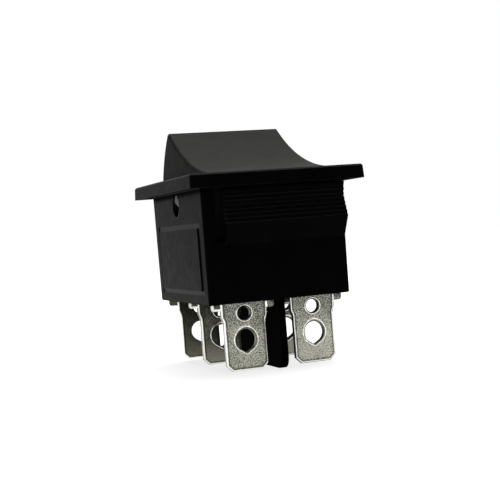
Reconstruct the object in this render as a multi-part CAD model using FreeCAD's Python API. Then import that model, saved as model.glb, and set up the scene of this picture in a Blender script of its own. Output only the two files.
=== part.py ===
import FreeCAD, Part
import math
import os

# Two-pole panel rocker switch with six push-on tabs.
# The origin is the centre of the panel cut-out, on the underside of the bezel. +Z comes
# out of the panel towards the finger, +X runs along the rocker's pivot and +Y along the
# long side. Sizes are in millimetres and angles in degrees.
# At rest the end of the rocker at -Y is pressed in, and the end at +Y stands up.

# Bezel of the housing
bezel_width = 26.2
bezel_length = 32.2
bezel_thickness = 2.0
bezel_draft = 0.1
bezel_corner_radius = 0.45
bezel_edge_chamfer = 0.25
bezel_seat_width = 1.3
bezel_relief_depth = 0.15

# Body of the housing
body_width = 21.6
body_length = 26.2
body_height = 16.4
body_draft_x = 0.04
body_draft_y = 0.22
body_corner_radius = 0.35
body_edge_chamfer = 0.15
end_wall = 0.9
floor_thickness = 1.5
divider_thickness = 1.0
divider_height = 5.9

# Raised pad in a shallow recess on each long side
recess_length = 22.1
recess_top = 4.77
recess_bottom = 15.1
recess_depth = 0.15
pad_length = 20.5
pad_margin_z = 0.7
pad_height = 0.26

# Snap wing on each short side, ridged to hold panels of several thicknesses.
# The steps are how far its face stands out from the end of the body.
wing_inner_reach = 7.7
wing_outer_reach = 10.6
wing_top_gap = 0.25
wing_collar_step = 1.1
wing_neck_step = 0.5
wing_neck_z = 2.1
wing_crest_step = 1.55
wing_crest_z = 5.25
wing_foot_z = 8.1
wing_slot = 0.4
wing_hinge_z = 7.7
ridge_count = 7
ridge_first_z = 1.2
ridge_pitch = 0.63
ridge_height = 0.11
ridge_lip = 0.06

# Barrier between the two columns of tabs
barrier_thickness = 1.0
barrier_drop = 10.0
barrier_corner_radius = 1.7

# Rocker, measured from its pivot in its level position
pivot_depth = 1.8
rocker_tilt = 21.0
rocker_top_half_width = 9.17
rocker_foot_half_width = 9.18
rocker_edge_reach = 13.56
rocker_edge_angle = 37.7
rocker_flank_reach = 13.05
rocker_flank_angle = 21.0
rocker_skirt_reach = 12.95
rocker_skirt_angle = 8.0
rocker_dish_sag = 1.57
rocker_wall = 1.1
rocker_roof = 1.4
rocker_keel_depth = 3.2
rocker_keel_half_length = 3.2
rocker_edge_chamfer = 0.12
rocker_corner_chamfer = 0.2
rocker_gap = 0.12
well_half_length = 13.3
well_straight_depth = 1.2
well_depth = 8.6
trunnion_radius = 1.65
trunnion_recess = 0.3
trunnion_bevel_angle = 40.0
pivot_clearance = 0.05
rib_thickness = 1.0
rib_bottom = 0.8

# Plunger and its spring, carried in a tube under the rocker
tube_radius = 2.0
tube_bore_depth = 4.6
plunger_radius = 1.1
plunger_clearance = 0.05
plunger_length = 4.6
plunger_out = 3.4
plunger_gap = 0.08
spigot_radius = 0.45
spigot_length = 0.9
spring_wire = 0.3
spring_mean_radius = 0.82
spring_turns = 3
spring_seat_gap = 0.02

# Rocking contact bridge
pole_spacing = 10.5
bridge_clearance = 2.42
bridge_tilt = 8.0
bridge_thickness = 0.5
bridge_width = 4.0
bridge_length = 16.8
bridge_dish_angle = 42.0
bridge_bend_radius = 0.8
bridge_neck_width = 3.0
bridge_neck_length = 1.2
bridge_corner_chamfer = 0.5

# Silver rivets on the bridge and on the throw terminals
rivet_reach = 7.4
rivet_head_radius = 1.3
rivet_head_thickness = 0.5
rivet_shank_radius = 0.6
rivet_hole_clearance = 0.01
contact_gap = 0.03

# Terminals, pressed from one strip
tab_width = 6.3
tab_thickness = 0.8
tab_drop = 9.7
tab_corner_chamfer = 0.85
tab_edge_bevel = 0.15
tab_row_inset = 2.05
tab_shoulder_width = 6.84
tab_shoulder_drop = 1.8
tab_taper_drop = 0.85
slot_clearance = 0.03
stem_width = 5.0
shelf_overhang = 1.45
shelf_bend_radius = 0.3
seat_gap = 0.03
seat_edge_width = 0.2
seat_edge_angle = 25.0
lug_height = 1.0
lug_clearance = 0.1
ear_length = 1.25
ear_height = 1.0
ear_corner_radius = 0.4
ear_twist = -28.0
eye_radius = 0.95
eye_drop = 1.52
teardrop_radius = 1.54
teardrop_half_angle = 58.0
teardrop_drop = 5.35
rim_width = 0.3
rim_depth = 0.2

# Margin by which cutting tools run past the faces that they cut
overrun = 1.0

# Tolerance for picking edges by their place
tolerance = 0.01

# Levels and places worked out from the driving dimensions
floor_top = -body_height + floor_thickness
well_half_width = rocker_foot_half_width + rocker_gap
chamber_half_length = body_length / 2 - body_draft_y - end_wall
well_radius = rocker_flank_reach + rocker_gap
hinge_z = floor_top + bridge_clearance
plunger_reach = -hinge_z - pivot_depth - bridge_thickness - plunger_gap - plunger_radius
tube_reach = plunger_reach - plunger_out
tab_row_reach = body_length / 2 - tab_row_inset
tip_z = -body_height - tab_drop


def vec(x, y, z):
    return FreeCAD.Vector(x, y, z)


def block(x0, x1, y0, y1, z0, z1):
    """Box between two corners."""
    return Part.makeBox(x1 - x0, y1 - y0, z1 - z0, vec(x0, y0, z0))


def bar_x(radius, x0, x1, y, z):
    """Round bar along X."""
    return Part.makeCylinder(radius, x1 - x0, vec(x0, y, z), vec(1, 0, 0))


def bar_z(radius, x, z0, z1):
    """Round bar along Z on the plane y = 0."""
    return Part.makeCylinder(radius, z1 - z0, vec(x, 0, z0), vec(0, 0, 1))


def side_prism(points, x0, x1):
    """Prism along X over a closed outline of (y, z) points."""
    corners = [vec(x0, y, z) for y, z in points]
    face = Part.Face(Part.makePolygon(corners + corners[:1]))
    return face.extrude(vec(x1 - x0, 0, 0))


def front_prism(points, y0, y1):
    """Prism along Y over a closed outline of (x, z) points."""
    corners = [vec(x, y0, z) for x, z in points]
    face = Part.Face(Part.makePolygon(corners + corners[:1]))
    return face.extrude(vec(0, y1 - y0, 0))


def arc(start, middle, end):
    return Part.Arc(start, middle, end).toShape()


def line(start, end):
    return Part.LineSegment(start, end).toShape()


def polar(reach, angle):
    """(y, z) point at a distance from the pivot, at an angle above the level."""
    return (reach * math.cos(math.radians(angle)), reach * math.sin(math.radians(angle)))


def drafted_block(low, high, radius):
    """Block between two (width, length, z) rectangles, with round upright edges."""
    (width_0, length_0, z0), (width_1, length_1, z1) = low, high
    far = max(width_0, width_1, length_0, length_1)
    across = front_prism([(-width_0 / 2, z0), (width_0 / 2, z0), (width_1 / 2, z1),
                          (-width_1 / 2, z1)], -far, far)
    along = side_prism([(-length_0 / 2, z0), (length_0 / 2, z0), (length_1 / 2, z1),
                        (-length_1 / 2, z1)], -far, far)
    solid = across.common(along)
    upright = [e for e in solid.Edges if e.BoundBox.ZLength > tolerance]
    return solid.makeFillet(radius, upright)


def level_edges(shape, z):
    """Edges of a shape that lie at one height."""
    return [e for e in shape.Edges
            if abs(e.BoundBox.ZMin - z) < tolerance and abs(e.BoundBox.ZMax - z) < tolerance]


def other_end(shape):
    """Copy mirrored to the other end of the switch."""
    return shape.mirror(vec(0, 0, 0), vec(0, 1, 0))


def half_turn(shape):
    """Copy turned half a turn about the Z axis."""
    copy = shape.copy()
    copy.rotate(vec(0, 0, 0), vec(0, 0, 1), 180)
    return copy


# Housing

def bezel():
    """Flange with a drafted edge, relieved underneath so that it seats on its rim."""
    top = (bezel_width - 2 * bezel_draft, bezel_length - 2 * bezel_draft, bezel_thickness)
    plate = drafted_block((bezel_width, bezel_length, 0), top, bezel_corner_radius)
    plate = plate.makeChamfer(bezel_edge_chamfer, level_edges(plate, bezel_thickness))
    half_x = bezel_width / 2 - bezel_seat_width
    half_y = bezel_length / 2 - bezel_seat_width
    return plate.cut(block(-half_x, half_x, -half_y, half_y, -overrun, bezel_relief_depth))


def body():
    foot = (body_width - 2 * body_draft_x, body_length - 2 * body_draft_y, -body_height)
    box = drafted_block(foot, (body_width, body_length, bezel_thickness / 2), body_corner_radius)
    return box.makeChamfer(body_edge_chamfer, level_edges(box, -body_height))


def rocker_well():
    """Space inside the housing, with end walls that follow the swing of the rocker."""
    x = well_half_width
    top = bezel_thickness + overrun
    mouth = block(-x, x, -well_half_length, well_half_length, -well_straight_depth, top)
    swing = bar_x(well_radius, -x, x, 0, -pivot_depth)
    swing = swing.common(block(-x, x, -well_radius, well_radius, -well_depth, 0))
    chamber = block(-x, x, -chamber_half_length, chamber_half_length, floor_top, 0)
    return mouth.fuse([swing, chamber])


def wing_face_y(depth):
    """Distance of the wing's outer face from the middle, at a depth under the bezel."""
    end = body_length / 2
    if depth < wing_neck_z:
        share = depth / wing_neck_z
        return end + wing_collar_step + share * (wing_neck_step - wing_collar_step)
    share = (depth - wing_neck_z) / (wing_crest_z - wing_neck_z)
    return end + wing_neck_step + share * (wing_crest_step - wing_neck_step)


def wing_outline():
    """(y, z) outline of the wing at -Y: a stepped face above a sloping lead-in."""
    inner_y = -chamber_half_length
    points = [(inner_y, -wing_top_gap), (-wing_face_y(wing_top_gap), -wing_top_gap)]
    for index in range(ridge_count):
        depth = ridge_first_z + index * ridge_pitch
        face = wing_face_y(depth)
        points.append((-face + ridge_height, -depth))
        points.append((-face - ridge_height, -depth - ridge_lip))
    points.append((-wing_face_y(wing_crest_z), -wing_crest_z))
    foot_y = body_length / 2 - body_draft_y * wing_foot_z / body_height
    points.append((-foot_y, -wing_foot_z))
    points.append((inner_y, -wing_foot_z))
    return points


def wing():
    """Snap wing at -Y, joined to the end wall at its foot only."""
    plate = side_prism(wing_outline(), -wing_inner_reach, wing_outer_reach)
    behind = block(well_half_width, wing_outer_reach + overrun, -body_length / 2,
                   -chamber_half_length + overrun, -wing_hinge_z, 0)
    return plate.cut(behind)


def wing_window():
    """Opening in the end wall at -Y, in which the wing stands free."""
    end = body_length / 2
    opening = block(-well_half_width, well_half_width, -end - overrun, -chamber_half_length,
                    -wing_hinge_z, 0)
    slot = block(well_half_width, body_width / 2 + overrun, -end - overrun, wing_slot - end,
                 -wing_hinge_z, 0)
    return opening.fuse(slot)


def side_recess():
    """Shallow ring cut in the long side at -X around a raised pad."""
    face = body_width / 2
    half = recess_length / 2
    ring = block(-face - overrun, -face + recess_depth, -half, half, -recess_bottom, -recess_top)
    return ring.cut(side_pad())


def side_pad():
    """Part of the pad that stands out of the long side at -X."""
    face = body_width / 2
    half = pad_length / 2
    root = (face + well_half_width) / 2
    return block(-face + recess_depth - pad_height, -root, -half, half,
                 pad_margin_z - recess_bottom, -pad_margin_z - recess_top)


def barrier():
    """Plate under the floor between the two columns of tabs."""
    half = body_length / 2 - body_draft_y - body_edge_chamfer
    bottom = -body_height - barrier_drop
    plate = block(-barrier_thickness / 2, barrier_thickness / 2, -half, half, bottom, floor_top)
    corners = [e for e in plate.Edges
               if e.BoundBox.ZMax < bottom + tolerance and e.BoundBox.YLength < tolerance]
    return plate.makeFillet(barrier_corner_radius, corners)


def divider():
    """Wall between the two poles inside the housing."""
    half = divider_thickness / 2
    reach = chamber_half_length + end_wall / 2
    return block(-half, half, -reach, reach, floor_top - floor_thickness / 2,
                 floor_top + divider_height)


def tab_slots():
    """Slots through the floor for the six terminals."""
    half_x = tab_shoulder_width / 2 + slot_clearance
    half_y = tab_thickness / 2 + slot_clearance
    slots = []
    for x in (-pole_spacing / 2, pole_spacing / 2):
        for y in (-tab_row_reach, 0, tab_row_reach):
            slots.append(block(x - half_x, x + half_x, y - half_y, y + half_y,
                               -body_height - overrun, floor_top + overrun))
    return slots


def pivot_holes():
    reach = body_width / 2 + overrun
    return bar_x(trunnion_radius + pivot_clearance, -reach, reach, 0, -pivot_depth)


def housing():
    """Bezel, body, wings and barrier, moulded in one piece."""
    shell = bezel().fuse(body())
    shell = shell.cut([wing_window(), other_end(wing_window())])
    shell = shell.fuse([wing(), other_end(wing())])
    shell = shell.cut(rocker_well())
    shell = shell.cut([side_recess(), half_turn(side_recess())])
    shell = shell.fuse([side_pad(), half_turn(side_pad()), barrier(), divider()])
    shell = shell.cut([pivot_holes()] + tab_slots())
    return shell.removeSplitter()


# Rocker

def rocker_outline(inset, roof):
    """Face across the rocker: dished top, curved ends and a shallow keel below.

    The inset moves the ends in and the roof moves the top down, for the hollow inside.
    """
    edge_y, edge_z = polar(rocker_edge_reach - inset, rocker_edge_angle)
    flank_y, flank_z = polar(rocker_flank_reach - inset, rocker_flank_angle)
    skirt_y, skirt_z = polar(rocker_skirt_reach - inset, -rocker_skirt_angle)
    keel_y = rocker_keel_half_length
    keel_z = -rocker_keel_depth
    if roof:
        edge_z -= roof - inset * math.sin(math.radians(rocker_edge_angle))
    dish_z = edge_z - rocker_dish_sag
    if inset:
        skirt_z -= overrun + rocker_keel_depth
        keel_z = skirt_z
    edges = [
        arc(vec(0, -edge_y, edge_z), vec(0, 0, dish_z), vec(0, edge_y, edge_z)),
        arc(vec(0, edge_y, edge_z), vec(0, flank_y, flank_z), vec(0, skirt_y, skirt_z)),
        line(vec(0, skirt_y, skirt_z), vec(0, keel_y, keel_z)),
        line(vec(0, keel_y, keel_z), vec(0, -keel_y, keel_z)),
        line(vec(0, -keel_y, keel_z), vec(0, -skirt_y, skirt_z)),
        arc(vec(0, -skirt_y, skirt_z), vec(0, -flank_y, flank_z), vec(0, -edge_y, edge_z)),
    ]
    return Part.Face(Part.Wire(edges))


def rocker_shell():
    """Cap with drafted sides, hollow from below."""
    foot = rocker_foot_half_width
    top = rocker_top_half_width
    low = -rocker_keel_depth
    high = rocker_edge_reach * math.sin(math.radians(rocker_edge_angle))
    blank = rocker_outline(0, 0)
    blank.translate(vec(-foot, 0, 0))
    blank = blank.extrude(vec(2 * foot, 0, 0))
    reach = rocker_edge_reach + overrun
    sides = front_prism([(-foot, low), (foot, low), (top, high), (-top, high)], -reach, reach)
    blank = blank.common(sides)
    blank = blank.makeChamfer(rocker_corner_chamfer, rocker_corner_edges(blank))
    blank = blank.makeChamfer(rocker_edge_chamfer, rocker_top_edges(blank))
    hollow_half = top - rocker_wall
    hollow = rocker_outline(rocker_wall, rocker_roof)
    hollow.translate(vec(-hollow_half, 0, 0))
    return blank.cut(hollow.extrude(vec(2 * hollow_half, 0, 0)))


def rocker_corner_edges(blank):
    """Upright edges at the four corners of the rocker, above its skirt."""
    skirt_y, skirt_z = polar(rocker_skirt_reach, -rocker_skirt_angle)
    edge_y = polar(rocker_edge_reach, rocker_edge_angle)[0]
    return [e for e in blank.Edges
            if e.BoundBox.ZMin > skirt_z - tolerance and e.BoundBox.XLength < rocker_wall
            and min(abs(e.BoundBox.YMin), abs(e.BoundBox.YMax)) > edge_y - tolerance]


def rocker_top_edges(blank):
    """Edges round the dished top."""
    rim_z = polar(rocker_edge_reach, rocker_edge_angle)[1]
    lowest = rim_z - rocker_dish_sag - tolerance
    return [e for e in blank.Edges if e.BoundBox.ZMin > lowest]


def rocker_dish_underside():
    """Height of the roof's underside in the middle of the rocker."""
    rim_z = polar(rocker_edge_reach, rocker_edge_angle)[1]
    return rim_z - rocker_dish_sag - rocker_roof


def spring_tube(x):
    top = rocker_dish_underside() + rocker_roof / 2
    return bar_z(tube_radius, x, -tube_reach, top)


def spring_bore(x):
    radius = plunger_radius + plunger_clearance
    return bar_z(radius, x, -tube_reach - overrun, -tube_reach + tube_bore_depth)


def trunnion(side):
    """Pivot boss with a bevelled lower half, which lets it snap into its hole."""
    inner = rocker_top_half_width - rocker_wall / 2
    outer = body_width / 2 - trunnion_recess
    boss = bar_x(trunnion_radius, inner, outer, 0, 0)
    depth = 2 * trunnion_radius
    slant = depth * math.tan(math.radians(trunnion_bevel_angle))
    bevel = front_prism([(outer, 0), (outer + overrun, 0), (outer + overrun, -depth),
                         (outer - slant, -depth)], -depth, depth)
    boss = boss.cut(bevel)
    return boss if side > 0 else half_turn(boss)


def rocker_rib():
    """Web between the tubes and the side walls."""
    half = rib_thickness / 2
    reach = rocker_top_half_width - rocker_wall / 2
    return block(-reach, reach, -half, half, rib_bottom, rocker_dish_underside() + rocker_roof / 2)


def to_rocker_pose(shape):
    """Move a piece drawn at the level rocker's pivot to its place at rest."""
    shape.rotate(vec(0, 0, 0), vec(1, 0, 0), rocker_tilt)
    shape.translate(vec(0, 0, -pivot_depth))
    return shape


def rocker():
    half = pole_spacing / 2
    cap = rocker_shell().fuse([
        rocker_rib(), spring_tube(-half), spring_tube(half), trunnion(-1), trunnion(1)])
    cap = cap.cut([spring_bore(-half), spring_bore(half)])
    return to_rocker_pose(cap.removeSplitter())


# Plungers and springs

def plunger(x):
    """Pin with a round nose, and a spigot that centres the spring."""
    top = -plunger_reach + plunger_length
    pin = bar_z(plunger_radius, x, -plunger_reach, top)
    nose = Part.makeSphere(plunger_radius, vec(x, 0, -plunger_reach))
    spigot = bar_z(spigot_radius, x, top - spigot_length, top + spigot_length)
    return to_rocker_pose(pin.fuse([nose, spigot]).removeSplitter())


def plunger_spring(x):
    """Coil spring between the end of the bore and the top of the plunger."""
    low = -plunger_reach + plunger_length + spring_wire / 2 + spring_seat_gap
    high = -tube_reach + tube_bore_depth - spring_wire / 2 - spring_seat_gap
    height = high - low
    path = Part.Wire(Part.makeHelix(height / spring_turns, height, spring_mean_radius))
    half = spring_wire / 2
    near = spring_mean_radius - half
    far = spring_mean_radius + half
    section = Part.makePolygon([vec(near, 0, -half), vec(far, 0, -half), vec(far, 0, half),
                                vec(near, 0, half), vec(near, 0, -half)])
    coil = path.makePipeShell([section], True, True)
    coil.translate(vec(x, 0, low))
    return to_rocker_pose(coil)


# Contact bridges

def bridge_dish_radius():
    """Radius of the bridge's dish that keeps the plunger's gap constant.

    The bridge turns by a fixed share of the rocker's angle. For small angles the nose of
    the plunger then stays at one distance from the dish, and this is that radius.
    """
    share = bridge_tilt / rocker_tilt
    reach = plunger_reach
    nose = plunger_radius + plunger_gap
    t = bridge_thickness
    above = reach * (reach + nose - 2 * share * t) + share ** 2 * t * (t + nose)
    below = reach * (1 + 2 * share) - share ** 2 * (t + nose)
    return above / below


def bridge_side(height):
    """Edges of one face of the strip for y > 0, at a height above its underside."""
    dish = bridge_dish_radius() + bridge_thickness
    turn = math.radians(bridge_dish_angle)
    slope = math.radians(bridge_tilt)
    radius = dish - height
    bend = bridge_bend_radius + height
    centre_z = dish
    bend_y = (dish + bridge_bend_radius) * math.sin(turn)
    bend_z = centre_z - (dish + bridge_bend_radius) * math.cos(turn)
    middle = (turn + slope) / 2

    def on_dish(angle):
        return vec(0, radius * math.sin(angle), centre_z - radius * math.cos(angle))

    def on_bend(angle):
        return vec(0, bend_y - bend * math.sin(angle), bend_z + bend * math.cos(angle))

    start = on_bend(slope)
    end_y = bridge_length / 2
    end = vec(0, end_y, start.z + (end_y - start.y) * math.tan(slope))
    return [
        arc(on_dish(0), on_dish(turn / 2), on_dish(turn)),
        arc(on_bend(turn), on_bend(middle), on_bend(slope)),
        line(start, end),
    ]


def bridge_arm_height(y):
    """Height of the arm's underside above the hinge, on its straight outer stretch."""
    outer = bridge_side(0)[2]
    start = outer.Vertexes[0].Point
    return start.z + (y - start.y) * math.tan(math.radians(bridge_tilt))


def bridge_strip():
    """Dished strip, level, with its hinge line on the X axis."""
    under = bridge_side(0)
    over = bridge_side(bridge_thickness)
    first = under[0].Vertexes[0].Point
    first_over = over[0].Vertexes[0].Point
    last = under[2].Vertexes[1].Point
    last_over = over[2].Vertexes[1].Point
    outline = under + [line(last, last_over)] + over[::-1] + [line(first_over, first)]
    face = Part.Face(Part.Wire(Part.__sortEdges__(outline)))
    face.translate(vec(-bridge_width / 2, 0, 0))
    arm = face.extrude(vec(bridge_width, 0, 0))
    return arm.fuse(half_turn(arm)).removeSplitter()


def bridge_trim():
    """Cutters for the neck between the lugs and for the corners of the ends."""
    half = bridge_width / 2
    neck = bridge_neck_width / 2
    reach = bridge_neck_length / 2
    high = bridge_dish_radius() + overrun
    end = bridge_length / 2
    c = bridge_corner_chamfer
    tools = []
    for side in (-1, 1):
        x0, x1 = sorted((side * neck, side * (half + overrun)))
        tools.append(block(x0, x1, -reach, reach, -overrun, high))
        for way in (-1, 1):
            corner = [vec(side * (half - c), way * (end + c), -overrun),
                      vec(side * (half + c), way * (end - c), -overrun),
                      vec(side * (half + c), way * (end + c), -overrun)]
            face = Part.Face(Part.makePolygon(corner + corner[:1]))
            tools.append(face.extrude(vec(0, 0, high + overrun)))
    return tools


def to_arm(shape, side):
    """Move a piece drawn on the Z axis square onto an arm of the level bridge."""
    shape.rotate(vec(0, 0, 0), vec(1, 0, 0), bridge_tilt)
    shape.translate(vec(0, rivet_reach, bridge_arm_height(rivet_reach)))
    return shape if side > 0 else half_turn(shape)


def to_bridge_pose(shape, x):
    """Move a piece of the level bridge to its place at rest."""
    shape.rotate(vec(0, 0, 0), vec(1, 0, 0), -bridge_tilt)
    shape.translate(vec(x, 0, hinge_z))
    return shape


def bridge(x):
    strip = bridge_strip().cut(bridge_trim())
    radius = rivet_shank_radius + rivet_hole_clearance
    holes = [to_arm(bar_z(radius, 0, -overrun, bridge_thickness + overrun), side)
             for side in (-1, 1)]
    return to_bridge_pose(strip.cut(holes), x)


def rivet(plate_thickness):
    """Rivet with its contact head under a plate on the XY plane, and its tail flush on top."""
    head = bar_z(rivet_head_radius, 0, -rivet_head_thickness, 0)
    shank = bar_z(rivet_shank_radius, 0, 0, plate_thickness)
    return head.fuse(shank).removeSplitter()


def bridge_rivet(x, side):
    return to_bridge_pose(to_arm(rivet(bridge_thickness), side), x)


# Terminals

def closed_contact():
    """(y, z) of the strip's underside over a closed contact, measured from the hinge."""
    turn = math.radians(bridge_tilt)
    y = rivet_reach
    z = bridge_arm_height(y)
    return (y * math.cos(turn) + z * math.sin(turn), z * math.cos(turn) - y * math.sin(turn))


def shelf_top():
    return hinge_z + closed_contact()[1] - 2 * rivet_head_thickness - contact_gap


def blade_outline(top, stem_top_width):
    """(x, z) outline of a terminal, from its tip to the top of its stem."""
    blade = tab_width / 2
    shoulder = tab_shoulder_width / 2
    stem = stem_top_width / 2
    c = tab_corner_chamfer
    taper_top = -body_height - tab_shoulder_drop
    right = [(blade - c, tip_z), (blade, tip_z + c), (blade, taper_top - tab_taper_drop),
             (shoulder, taper_top), (shoulder, floor_top), (stem, floor_top), (stem, top)]
    left = [(-x, z) for x, z in reversed(right)]
    return right + left


def teardrop_wire(radius, y):
    """Round hole that runs down to a point."""
    half = math.radians(teardrop_half_angle)
    z = -body_height - teardrop_drop
    tip = vec(0, y, z - radius / math.sin(half))
    side_x = radius * math.cos(half)
    side_z = z - radius * math.sin(half)
    right = vec(side_x, y, side_z)
    left = vec(-side_x, y, side_z)
    return Part.Wire([line(tip, right), arc(right, vec(0, y, z + radius), left), line(left, tip)])


def tab_holes(side):
    """Wire eye and teardrop, each with a coined rim on the tab's outer face."""
    half = tab_thickness / 2
    eye_z = -body_height - eye_drop
    start = vec(0, -half - overrun, eye_z)
    eye = Part.makeCylinder(eye_radius, 2 * (half + overrun), start, vec(0, 1, 0))
    drop = Part.Face(teardrop_wire(teardrop_radius, -half - overrun))
    drop = drop.extrude(vec(0, 2 * (half + overrun), 0))
    outer = side * half
    deep = side * (half - rim_depth)
    eye_rim = Part.makeCone(eye_radius + rim_width, eye_radius, rim_depth,
                            vec(0, outer, eye_z), vec(0, -side, 0))
    drop_rim = Part.makeLoft([teardrop_wire(teardrop_radius + rim_width, outer),
                              teardrop_wire(teardrop_radius, deep)], True, True)
    return [eye, drop, eye_rim, drop_rim]


def bevel_blade(terminal):
    """Bevel the sides and the tip of the blade, so that a receptacle slides on."""
    limit = -body_height - tab_shoulder_drop - tab_taper_drop + tolerance
    half_x = tab_width / 2 - tab_corner_chamfer
    half_y = tab_thickness / 2
    rim = []
    for edge in terminal.Edges:
        box = edge.BoundBox
        on_face = box.YLength < tolerance and abs(abs(box.YMin) - half_y) < tolerance
        on_side = max(abs(box.XMin), abs(box.XMax)) > half_x - tolerance
        if on_face and on_side and box.ZMax < limit:
            rim.append(edge)
    return terminal.makeChamfer(tab_edge_bevel, rim)


def ear(side):
    """Lug beside the shoulder, bent against the underside of the floor."""
    length = ear_length + tab_thickness / 2
    top = -body_height
    lug = block(0, length, -tab_thickness / 2, tab_thickness / 2, top - ear_height, top)
    corner = [e for e in lug.Edges
              if e.BoundBox.XMin > length - tolerance
              and e.BoundBox.ZMax < top - ear_height + tolerance]
    lug = lug.makeFillet(ear_corner_radius, corner)
    lug.rotate(vec(0, 0, 0), vec(0, 0, 1), ear_twist)
    lug.translate(vec(tab_shoulder_width / 2 - tab_thickness / 2, 0, 0))
    return lug if side > 0 else half_turn(lug)


def finish_tab(plate, x, y, side):
    """Cut the holes, bevel the blade, add the ears and move the terminal to its place."""
    tab = bevel_blade(plate).cut(tab_holes(side))
    tab = tab.fuse([ear(-1), ear(1)]).removeSplitter()
    tab.translate(vec(x, y, 0))
    return tab


def common_terminal(x):
    """Middle terminal: its top edge is the knife edge that the bridge rocks on."""
    half = tab_thickness / 2
    seat = hinge_z - seat_gap
    plate = front_prism(blade_outline(seat + lug_height, stem_width), -half, half)
    notch = bridge_neck_width / 2 + lug_clearance
    edge = seat_edge_width / 2
    reach = half + overrun
    drop = (reach - edge) * math.tan(math.radians(seat_edge_angle))
    above = seat + lug_height + overrun
    seat_cut = [(-reach, above), (-reach, seat - drop), (-edge, seat), (edge, seat),
                (reach, seat - drop), (reach, above)]
    plate = plate.cut(side_prism(seat_cut, -notch, notch))
    return finish_tab(plate, x, 0, -1)


def throw_profile():
    """Side face of a throw terminal: a stem that bends to a shelf towards -Y."""
    half = tab_thickness / 2
    top = shelf_top()
    under = top - tab_thickness
    end = closed_contact()[0] - tab_row_reach - shelf_overhang
    inner = shelf_bend_radius
    outer = inner + tab_thickness
    k = 1 - math.sqrt(0.5)
    a = vec(0, half, tip_z)
    b = vec(0, half, top - outer)
    c = vec(0, half - outer, top)
    d = vec(0, end, top)
    e = vec(0, end, under)
    f = vec(0, -half - inner, under)
    g = vec(0, -half, under - inner)
    h = vec(0, -half, tip_z)
    return Part.Face(Part.Wire([
        line(a, b),
        arc(b, vec(0, half - k * outer, top - k * outer), c),
        line(c, d),
        line(d, e),
        line(e, f),
        arc(f, vec(0, -half - k * inner, under - k * inner), g),
        line(g, h),
        line(h, a),
    ]))


def throw_terminal(x, side):
    """Outer terminal: the stem bends inwards to a shelf that carries the fixed contact."""
    half_x = tab_shoulder_width / 2
    face = throw_profile()
    face.translate(vec(-half_x, 0, 0))
    sheet = face.extrude(vec(2 * half_x, 0, 0))
    outline = front_prism(blade_outline(shelf_top(), stem_width),
                          -tab_row_reach, tab_row_reach)
    rivet_y = closed_contact()[0] - tab_row_reach
    hole = Part.makeCylinder(rivet_shank_radius + rivet_hole_clearance, tab_thickness + overrun,
                             vec(0, rivet_y, shelf_top() - tab_thickness - overrun / 2),
                             vec(0, 0, 1))
    terminal = finish_tab(sheet.common(outline).cut(hole), 0, tab_row_reach, 1)
    if side < 0:
        terminal = half_turn(terminal)
    terminal.translate(vec(x, 0, 0))
    return terminal


def contact_rivet(x, side):
    """Fixed contact: a rivet with its head on top of the shelf."""
    piece = rivet(tab_thickness)
    piece.rotate(vec(0, 0, 0), vec(1, 0, 0), 180)
    piece.translate(vec(x, side * closed_contact()[0], shelf_top()))
    return piece


def main():
    os.makedirs("parts", exist_ok=True)
    pieces = {"housing": housing(), "rocker": rocker()}
    for hand, x in (("left", -pole_spacing / 2), ("right", pole_spacing / 2)):
        pieces["plunger_" + hand] = plunger(x)
        pieces["plunger_spring_" + hand] = plunger_spring(x)
        pieces["contact_bridge_" + hand] = bridge(x)
        pieces["common_terminal_" + hand] = common_terminal(x)
        for end, side in (("front", -1), ("rear", 1)):
            place = hand + "_" + end
            pieces["bridge_rivet_" + place] = bridge_rivet(x, side)
            pieces["throw_terminal_" + place] = throw_terminal(x, side)
            pieces["contact_rivet_" + place] = contact_rivet(x, side)
    for name, shape in pieces.items():
        if len(shape.Solids) != 1 or not shape.isValid():
            raise ValueError(name + " is not one valid solid")
        shape.exportStep("parts/" + name + ".step")


main()
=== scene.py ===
"""Looks of a two-pole panel rocker switch: finishes, wound springs, floor, lamps and camera."""

import logging
import math
from dataclasses import dataclass
from enum import Enum
from typing import Any, Dict, List, Optional, Tuple, Union

import bmesh
import bpy
from mathutils import Matrix, Vector

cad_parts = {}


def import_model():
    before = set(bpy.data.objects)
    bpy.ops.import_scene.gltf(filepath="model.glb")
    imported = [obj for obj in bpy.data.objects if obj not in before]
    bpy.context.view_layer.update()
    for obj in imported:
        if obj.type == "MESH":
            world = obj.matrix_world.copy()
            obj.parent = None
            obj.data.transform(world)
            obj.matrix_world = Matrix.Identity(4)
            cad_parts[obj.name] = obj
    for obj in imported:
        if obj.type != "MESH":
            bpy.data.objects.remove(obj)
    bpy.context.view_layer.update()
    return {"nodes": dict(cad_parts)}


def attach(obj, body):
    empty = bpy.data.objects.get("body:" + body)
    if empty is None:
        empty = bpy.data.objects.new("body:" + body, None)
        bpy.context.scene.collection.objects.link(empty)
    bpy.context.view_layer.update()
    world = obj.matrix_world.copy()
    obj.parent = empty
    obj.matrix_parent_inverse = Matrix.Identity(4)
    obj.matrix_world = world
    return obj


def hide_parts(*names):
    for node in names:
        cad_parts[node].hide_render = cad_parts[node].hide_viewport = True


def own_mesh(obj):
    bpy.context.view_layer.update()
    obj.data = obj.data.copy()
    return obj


LOG = logging.getLogger("rocker_switch")
MM = 0.001
SIDES = {"left": -1, "right": 1}
ROWS = {"front": -1, "middle": 0, "rear": 1}
BEVEL_SAMPLES = 6
NOISE_ROUGHNESS = 0.6
NOISE_MEAN = 0.5
MIX_SHARE, MIX_FIRST, MIX_SECOND, MIX_RESULT = 0, 6, 7, 2

Triple = Tuple[float, float, float]
Span = Tuple[float, float]
Colour = Tuple[float, float, float, float]
Value = Union["Wire", float]


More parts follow.
